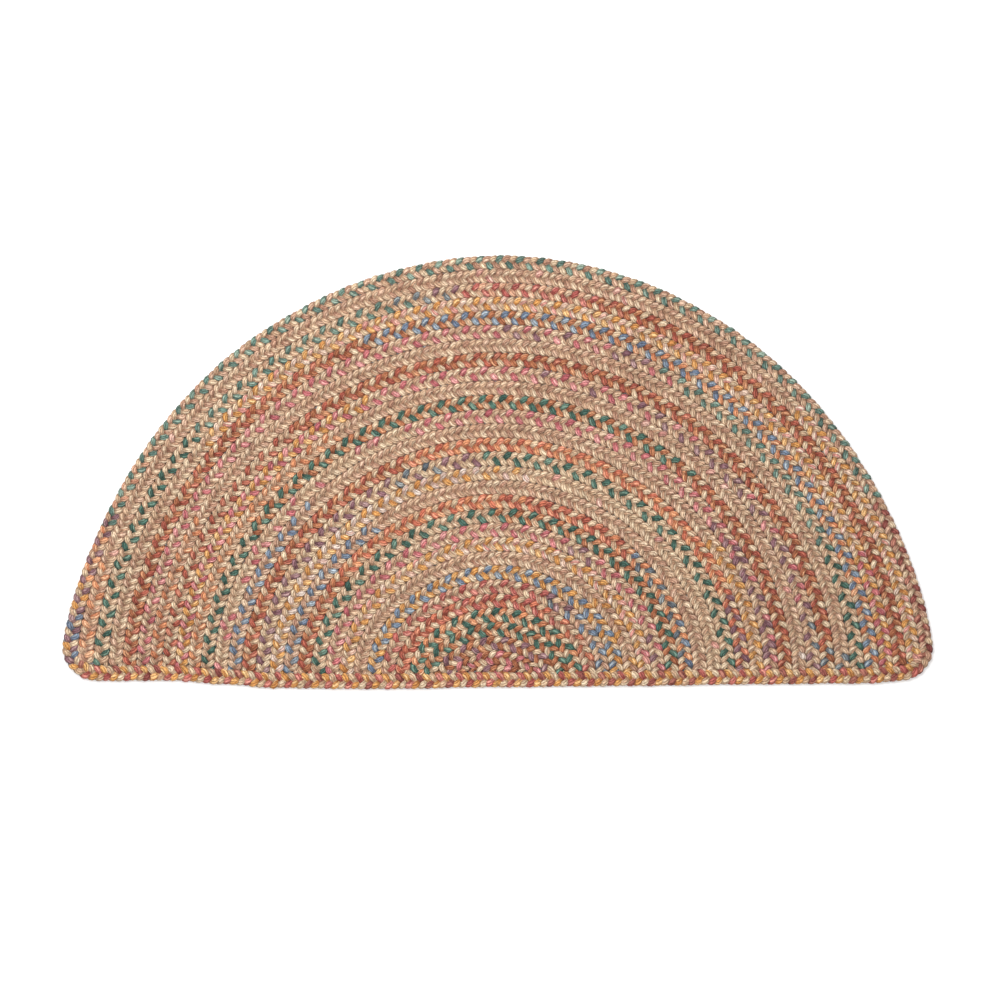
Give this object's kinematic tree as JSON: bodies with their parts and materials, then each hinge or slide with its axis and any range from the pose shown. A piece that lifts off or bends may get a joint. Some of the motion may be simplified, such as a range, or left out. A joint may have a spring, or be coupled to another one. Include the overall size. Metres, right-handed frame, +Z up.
{
  "type": "half-round braided rug",
  "caption": "Flat half-round rug of multicolour heathered three-strand braids sewn in arched courses, closed by a braid along its straight side.",
  "frame": {"origin": "centre of the outline box, on the floor plane that the flat underside rests on", "axes": "+X along the straight side, +Y from the straight side towards the crown of the half-round, +Z up out of the rug's face"},
  "size_m": [1.2154, 0.6056, 0.0095],
  "materials": {
    "edge_yarn": "braided heathered yarn in gold, rose brown, teal and sand, matt",
    "course_yarn": "braided heathered yarn, sand and cream with teal, coral, rust, gold, pink, plum and blue, matt",
    "start_yarn": "braided heathered yarn in rose, rust, plum and cream, matt"
  },
  "bodies": {
    "root": {"edge_braid": "edge_yarn", "braid_course_02": "course_yarn", "braid_course_03": "course_yarn", "braid_course_04": "course_yarn", "braid_course_05": "course_yarn", "braid_course_06": "course_yarn", "braid_course_07": "course_yarn", "braid_course_08": "course_yarn", "braid_course_09": "course_yarn", "braid_course_10": "course_yarn", "braid_course_11": "course_yarn", "braid_course_12": "course_yarn", "braid_course_13": "course_yarn", "braid_course_14": "course_yarn", "braid_course_15": "course_yarn", "braid_course_16": "course_yarn", "braid_course_17": "course_yarn", "braid_course_18": "course_yarn", "braid_course_19": "course_yarn", "braid_course_20": "course_yarn", "braid_course_21": "course_yarn", "braid_course_22": "course_yarn", "braid_course_23": "course_yarn", "braid_course_24": "course_yarn", "braid_course_25": "course_yarn", "braid_course_26": "course_yarn", "braid_course_27": "course_yarn", "braid_course_28": "course_yarn", "braid_course_29": "course_yarn", "start_braid": "start_yarn"}
  },
  "joints": []
}
